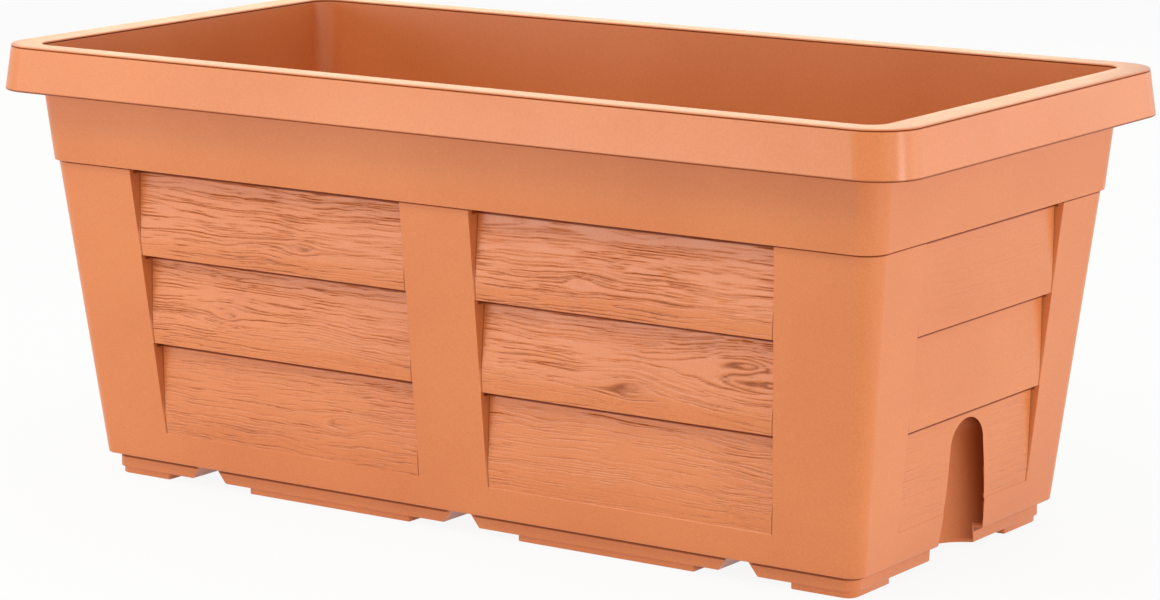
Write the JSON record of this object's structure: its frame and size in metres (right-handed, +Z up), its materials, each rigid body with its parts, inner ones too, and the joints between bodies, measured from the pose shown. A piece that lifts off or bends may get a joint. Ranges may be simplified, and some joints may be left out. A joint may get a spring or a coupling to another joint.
{
  "type": "window box planter",
  "caption": "Rectangular moulded plastic planter with lapped plank panels, a downturned rim, a niche in each end wall and pull-out drain plugs in its floor.",
  "frame": {"origin": "on the ground, under the middle of the planter", "axes": "+X along the planter's length, +Z up, -Y towards the front"},
  "size_m": [0.6, 0.3024, 0.2539],
  "materials": {
    "tub_plastic": "satin moulded plastic, terracotta",
    "plug_plastic": "satin moulded plastic, darker terracotta"
  },
  "bodies": {
    "tub": {"tub": "tub_plastic"},
    "drain_plug_1": {"drain_plug_1": "plug_plastic"},
    "drain_plug_2": {"drain_plug_2": "plug_plastic"},
    "drain_plug_3": {"drain_plug_3": "plug_plastic"},
    "drain_plug_4": {"drain_plug_4": "plug_plastic"},
    "drain_plug_5": {"drain_plug_5": "plug_plastic"},
    "drain_plug_6": {"drain_plug_6": "plug_plastic"},
    "drain_plug_7": {"drain_plug_7": "plug_plastic"},
    "drain_plug_8": {"drain_plug_8": "plug_plastic"}
  },
  "joints": [
    {"name": "drain_plug_1_pull", "type": "slide", "parent": "tub", "child": "drain_plug_1", "axis": [0, 0, 1], "range_m": [0, 0.03]},
    {"name": "drain_plug_2_pull", "type": "slide", "parent": "tub", "child": "drain_plug_2", "axis": [0, 0, 1], "range_m": [0, 0.03]},
    {"name": "drain_plug_3_pull", "type": "slide", "parent": "tub", "child": "drain_plug_3", "axis": [0, 0, 1], "range_m": [0, 0.03]},
    {"name": "drain_plug_4_pull", "type": "slide", "parent": "tub", "child": "drain_plug_4", "axis": [0, 0, 1], "range_m": [0, 0.03]},
    {"name": "drain_plug_5_pull", "type": "slide", "parent": "tub", "child": "drain_plug_5", "axis": [0, 0, 1], "range_m": [0, 0.03]},
    {"name": "drain_plug_6_pull", "type": "slide", "parent": "tub", "child": "drain_plug_6", "axis": [0, 0, 1], "range_m": [0, 0.03]},
    {"name": "drain_plug_7_pull", "type": "slide", "parent": "tub", "child": "drain_plug_7", "axis": [0, 0, 1], "range_m": [0, 0.03]},
    {"name": "drain_plug_8_pull", "type": "slide", "parent": "tub", "child": "drain_plug_8", "axis": [0, 0, 1], "range_m": [0, 0.03]}
  ]
}
